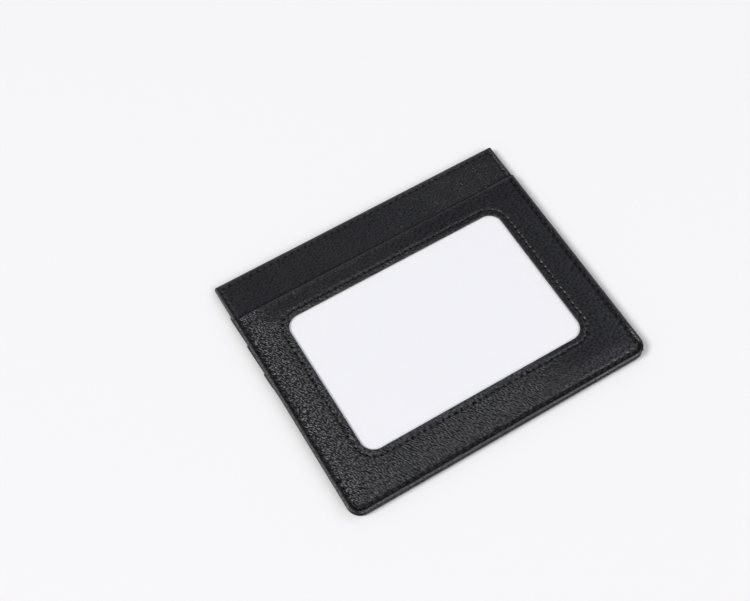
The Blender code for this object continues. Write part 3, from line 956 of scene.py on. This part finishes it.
def shape_slot(x, y):
    """Lowest slot panel, thick at its sewn rim and lifted off the table there."""
    sewn, below = slot_measures(x, y)
    x, y = round_sheet(x, y, BODY_HALF, FOOT, SLOT[1].y)
    lift = SEAM_LIFT * (1 - smooth(sewn, 1.0, 4.4)) * (1 - smooth(y, RIM_END - 2.0, RIM_END))
    lift += SLOT_CREASE * bump(below, CREASE_DROP, CREASE_WIDTH)
    low = SLOT[0].z + lift + seam.pressed(x, y, *SLOT_PRESS)
    thick = (1 - smooth(sewn, 2.7, 3.1)) * (1 - smooth(y, RIM_END - 0.6, RIM_END))
    thin_high = SLOT[0].z + SLOT_THICK
    high = thin_high + (SLOT[1].z - thin_high) * thick
    share = turned(np.minimum(sewn, below), 0.4)
    return spread(x, y, SLOT[1].y), y, *between(low, high, share)


slot = make_ply("slot_panel_leather", BODY_COLUMNS, grid_lines(FOOT, SLOT[1].y, STEP),
                shape_slot, [lambda x, y: beside_lines(*slot_measures(x, y))], -1)
x, y, z = get_points(slot).T
edge = np.minimum(*slot_measures(x, y))
# Painted shade on the upper face just inside the rim, seen in the gap between plies.
shaded_gap = (z > SLOT[1].z - 0.4) * smooth(edge, 0.25, 0.5)
# The rolled rim is rubbed: paler wear and a painted highlight.
finish_leather(slot, bump(edge, 0.15, 0.35), (seam,), painted_shade=GAP_SHADE * shaded_gap)
fit(slot, "card_slot_3", panel_leather)

# %% [markdown]
# ## Thread
#
# Each stitch is a short piece of black polyester thread that dives into a needle hole at both
# ends. One stitch is drawn as a curve with a round section and turned to a mesh.

# %% One stitch
THREAD_RADIUS, THREAD_DIP, THREAD_RISE, THREAD_LEAN = 0.15, 0.3, 0.45, 0.2
STITCH_LENGTH = SEAM_PITCH - 0.8        # what shows between two holes

deselect()
bpy.ops.curve.primitive_bezier_curve_add(radius=MM)
curve = bpy.context.object.data
curve.bevel_depth, curve.bevel_resolution = THREAD_RADIUS * MM, 1
curve.resolution_u, curve.use_fill_caps = 7, True
for point, side in zip(curve.splines[0].bezier_points, (-1, 1)):
    end = Vector((side * STITCH_LENGTH / 2, 0, -THREAD_DIP))
    way = Vector((-side * THREAD_LEAN, 0, THREAD_RISE))
    point.handle_left_type = point.handle_right_type = "FREE"
    point.co = end * MM
    inner, outer = (end + way) * MM, (end - way) * MM
    point.handle_right, point.handle_left = (inner, outer) if side < 0 else (outer, inner)
bpy.ops.object.convert(target="MESH")
bpy.ops.object.shade_smooth()
stitch = bpy.context.object
stitch.name = "stitch"

# A UV map runs along the thread, and round it.
layer = stitch.data.uv_layers.get("UVMap") or stitch.data.uv_layers.new(name="UVMap")
places = get_points(stitch)
for loop in stitch.data.loops:
    x, y, z = places[loop.vertex_index]
    layer.data[loop.index].uv = (x / SEAM_PITCH + 0.5, math.atan2(y, z) / (2 * math.pi))
report(stitch)

# %% [markdown]
# ## Thread finish
#
# Polyester thread is two or three yarns twisted together, so it has slanting ridges and a soft
# shine along them. The ridges follow the stitch's own map, so they turn with the seam.

# %% Thread material
RIDGE_DEPTH = 0.05
thread_finish, tree, shader = new_material("twisted_polyester_thread", Roughness=0.5,
                                           Specular_IOR_Level=0.4, Sheen_Weight=0.1)
slanted = add_node(tree, "Mapping", 0, Vector=add_node(tree, "TexCoord", "UV"),
                   Rotation=(0, 0, 0.6), Scale=(1.0, 0.5, 1.0))
ridges = add_node(tree, "TexWave", "Fac", Vector=slanted, Scale=2.2, Distortion=0.3)
add_relief(tree, shader, ridges, RIDGE_DEPTH, 0.8)
tree.links.new(mix(tree, ridges, "#111113", "#29292C"), shader.inputs["Base Color"])
print("made", thread_finish.name)

# %% [markdown]
# ## Sewing
#
# The stitch is copied along each row, with a little play in its angle, and the copies are
# joined. On the front they lie in the panel's seam valley, or on the wall above its hem. On
# the back they lie under whichever ply is lowest.

# %% Sewing
PLAY = 2.5                              # degrees
THREAD_TOP = 0.75 * THREAD_RISE - THREAD_DIP + THREAD_RADIUS    # a stitch above its place
PROUD, PROUD_RIGHT, RING_SUNK = 0.12, 0.06, 0.04    # stitches above the leather, or below


def sew(name, row, height, side):
    """Copies the stitch along a row, on the upper (1) or lower (-1) face at height(x, y)."""
    play = random.Random(len(name))
    pieces = []
    for number in range(row.count):
        start, end = (row.points[round((number + share) / row.count * (len(row.points) - 1))]
                      for share in (0.0, 1.0))
        x, y = (start + end) / 2
        angle = math.atan2(*(end - start)[::-1]) + math.radians(play.uniform(-PLAY, PLAY))
        piece = copy_of(stitch, "stitch_copy")
        piece.location = Vector((x, y, height(x, y))) * MM
        piece.rotation_euler = (0.0 if side > 0 else math.pi, 0, angle)
        pieces.append(piece)
    choose(*pieces)
    bpy.ops.object.transform_apply()
    bpy.ops.object.join()
    thread = bpy.context.object
    thread.name = thread.data.name = name
    thread.data.materials.append(thread_finish)
    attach(thread, "wallet")
    report(thread)


def front_height(x, y):
    valley = SEAM_HIGH + (BEAD - VALLEY) * fullness(x, y)
    proud = PROUD + PROUD_RIGHT * smooth(x, *RIGHT_SIDE)
    return (valley if y < PANEL_MOUTH else WALL[1].z) + proud - THREAD_TOP


def ring_height(x, y):
    return FIELD_HIGH - RING_SUNK - THREAD_TOP


def back_height(x, y):
    for node in ("card_slot_3", "card_slot_2", "card_slot_1"):
        low, high = box_mm(node)
        if y < high.y:
            return low.z + (SEAM_LIFT if y < box_mm("card_slot_2")[0].y else 0.0) + THREAD_TOP
    return box_mm("back_wall")[0].z + THREAD_TOP


sew("seam_thread_front", seam, front_height, 1)
sew("mouth_thread_front", mouth_row, front_height, 1)
sew("window_thread", ring, ring_height, 1)
sew("seam_thread_back", seam, back_height, -1)
sew("mouth_thread_back", mouth_row, back_height, -1)
bpy.data.objects.remove(stitch)

# %% [markdown]
# ## Insert
#
# The insert is plain white card, cut with rounded corners. It is modelled as by hand: a plane
# at its size, rounded corners, and a thickness.

# %% Insert
INSERT_RADIUS, INSERT_EDGE = 2.0, 0.04
FLAT_WEIGHT = 100       # large flat faces keep their own direction when edges are smoothed

low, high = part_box("insert_card")
deselect()
bpy.ops.mesh.primitive_plane_add(size=1, location=((low.x + high.x) / 2,
                                                   (low.y + high.y) / 2, low.z))
insert = bpy.context.object
insert.name = insert.data.name = "paper_insert"
bpy.ops.object.mode_set(mode="EDIT")
bpy.ops.transform.resize(value=(high.x - low.x, high.y - low.y, 1))
bpy.ops.mesh.bevel(offset=INSERT_RADIUS * MM, segments=8, affect="VERTICES")
bpy.ops.mesh.select_all(action="SELECT")
bpy.ops.mesh.extrude_region_move(TRANSFORM_OT_translate={"value": (0, 0, high.z - low.z)})
bpy.ops.mesh.select_all(action="SELECT")
bpy.ops.mesh.normals_make_consistent()
bpy.ops.object.mode_set(mode="OBJECT")
bpy.ops.object.transform_apply()
edges = insert.modifiers.new("edges", "BEVEL")
edges.width, edges.segments, edges.limit_method = INSERT_EDGE * MM, 2, "ANGLE"
bpy.ops.object.modifier_apply(modifier="edges")
bpy.ops.object.shade_smooth()
insert.modifiers.new("flat_faces", "WEIGHTED_NORMAL").weight = FLAT_WEIGHT
bpy.ops.object.modifier_apply(modifier="flat_faces")
report(insert)

# %% [markdown]
# ## Card finish
#
# Card is pressed from bleached fibres and rolled smooth, so it is evenly matt, and only a very
# fine mottle of fibres is left.

# %% Card material
FIBRE_SIZE, FIBRE_DEPTH = 0.5, 0.02
card_finish, tree, shader = new_material("smooth_insert_card", Roughness=0.55,
                                         Specular_IOR_Level=0.3)
fibres = add_node(tree, "TexNoise", "Fac", Vector=add_node(tree, "TexCoord", "Object"),
                  Scale=per_mm(FIBRE_SIZE), Detail=4.0)
add_relief(tree, shader, fibres, FIBRE_DEPTH, 0.15)
tree.links.new(mix(tree, fibres, "#F5F5F5", "#F1F1F2"), shader.inputs["Base Color"])
fit(insert, "insert_card", card_finish, body="insert")

# %% [markdown]
# ## Window film
#
# The window is clear soft vinyl, rolled out as a thin sheet. It never lies quite flat, and its
# slight waves bend the reflections. The eye and the reflections meet clear vinyl, while lamp
# light falls straight through, so the card behind is lit as by day.

# %% Window film
FILM_STEP, FILM_INSET = 1.2, 0.04
FILM_WAVE, FILM_WAVE_SIZE = 0.03, 24
RIPPLE_SIZE, RIPPLE_DEPTH = 9, 0.1


def shape_film(x, y):
    wave = FILM_WAVE * wander(x, y, FILM_WAVE_SIZE)
    return x, y, FILM[0].z + FILM_INSET + wave, FILM[1].z - FILM_INSET + wave


vinyl, tree, shader = new_material("clear_soft_vinyl", Base_Color=linear("#FFFFFF"),
                                   Roughness=0.05, IOR=1.53, Transmission_Weight=1.0)
ripples = add_node(tree, "TexNoise", "Fac", Vector=add_node(tree, "TexCoord", "Object"),
                   Scale=per_mm(RIPPLE_SIZE), Detail=2.0)
add_relief(tree, shader, ripples, RIPPLE_DEPTH, 0.2)
passing = compute(tree, "MAXIMUM", *(add_node(tree, "LightPath", f"Is {kind} Ray")
                                     for kind in ("Shadow", "Diffuse")))
both = add_node(tree, "MixShader", 0, i0=passing, i1=shader.outputs[0],
                i2=add_node(tree, "BsdfTransparent", 0))
tree.links.new(both, tree.nodes["Material Output"].inputs["Surface"])
film = make_ply("clear_film", grid_lines(FILM[0].x, FILM[1].x, FILM_STEP),
                grid_lines(FILM[0].y, FILM[1].y, FILM_STEP), shape_film)
fit(film, "window_film", vinyl)

# %% [markdown]
# ## Lining cloth
#
# Thin plain-woven cloth: yarns cross over and under each other at even steps, so the surface
# is a fine matt check of high and low places.

# %% Cloth material
YARN, WEAVE_DEPTH = 0.28, 0.05
cloth_finish, tree, shader = new_material("plain_woven_lining", Roughness=0.8,
                                          Specular_IOR_Level=0.25, Sheen_Weight=0.2)
place = add_node(tree, "TexCoord", "Object")
weave = compute(tree, "MULTIPLY", *(
    add_node(tree, "TexWave", "Fac", {"bands_direction": way}, Vector=place,
             Scale=per_mm(YARN) * math.pi / 10) for way in ("X", "Y")))
add_relief(tree, shader, weave, WEAVE_DEPTH, 0.6)
tree.links.new(mix(tree, weave, "#1B1B1E", "#2E2E33"), shader.inputs["Base Color"])
print("made", cloth_finish.name)

# %% [markdown]
# ## Linings and pocket cloths
#
# Cloth lines the centre pocket, and cloth hangs from each slot strip inside the wallet. Each is
# a flat sheet cut to size, and lies pressed between two plies with waves no higher than the gap
# allows.

# %% Cloth sheets
CLOTH_STEP, CLOTH_HALF = 2.0, 0.035         # grid, and half the thickness
CLOTH_WAVE, CLOTH_WAVE_SIZE = 0.02, 9
CLOTHS = {      # piece: the node that it stands for, and the piece that it rests on
    "back_lining_cloth": ("back_lining", "back_wall_leather"),
    "front_lining_cloth": ("front_lining", "back_lining_cloth"),
    "slot_1_cloth": ("slot_1_pocket_cloth", "slot_strip_1_leather"),
    "slot_2_cloth": ("slot_2_pocket_cloth", "slot_strip_2_leather")}


def make_cloth(name, node):
    low, high = box_mm(node)

    def shape(x, y):
        edge = np.minimum(high.x - abs(x), np.minimum(y - low.y, high.y - y))
        middle = (low.z + high.z) / 2 + CLOTH_WAVE * wander(x, y, CLOTH_WAVE_SIZE)
        half = CLOTH_HALF * turned(edge, 2 * CLOTH_HALF)
        return x, y, middle - half, middle + half

    sheet = make_ply(name, grid_lines(low.x, high.x, CLOTH_STEP),
                     grid_lines(low.y, high.y, CLOTH_STEP), shape)
    fit(sheet, node, cloth_finish)


for name, (node, rests_on) in CLOTHS.items():
    make_cloth(name, node)

# %% [markdown]
# ## Floor and light
#
# The photograph has a near-white table, a big soft light from the left and a weaker one from
# the front, which draws the thin bright line on the edge at the foot. The right side looks
# slightly blue, so a weak bluish lamp stands there. The lamps are far away, so the floor is
# even, and the pale world fills the shadows. The table is painted matt, so it shows no
# reflection of the wallet.

# %% Floor, lamps and world
FLOOR_SIZE, FLOOR_COLOUR = 6.0, "#F2F1EF"
LAMPS = {   # azimuth and elevation in degrees, distance and size in metres, power, colour
    "key": (-92, 50, 9.0, 4.0, 560.0, "#FFFEFC"),
    "front": (12, 45, 9.0, 4.0, 235.0, "#FFFEFC"),
    "fill": (75, 50, 5.0, 3.6, 46.0, "#EEF0FF")}
SKY_COLOUR, SKY_STRENGTH = "#ECEEFF", 0.28

deselect()
bpy.ops.mesh.primitive_plane_add(size=FLOOR_SIZE, location=(0, 0, 0))
floor = bpy.context.object
floor.name = "floor"
floor.data.materials.append(new_material("pale_table", Base_Color=linear(FLOOR_COLOUR),
                                         Roughness=0.7, Specular_IOR_Level=0.2)[0])
for name, (azimuth, elevation, distance, size, power, colour) in LAMPS.items():
    data = bpy.data.lights.new(name, "AREA")
    data.shape, data.size, data.energy = "DISK", size, power
    data.color = linear(colour)[:3]
    lamp = bpy.data.objects.new(name, data)
    bpy.context.scene.collection.objects.link(lamp)
    back = direction(azimuth, elevation)
    lamp.location = back * distance
    lamp.rotation_euler = back.to_track_quat("Z", "Y").to_euler()
    print(name, "lamp at", [round(v, 1) for v in lamp.location], "m")
world = bpy.data.worlds.new("world")
bpy.context.scene.world = world
world.use_nodes = True
background = world.node_tree.nodes["Background"]
background.inputs["Color"].default_value = linear(SKY_COLOUR)
background.inputs["Strength"].default_value = SKY_STRENGTH
bpy.context.scene.view_settings.view_transform = "Standard"
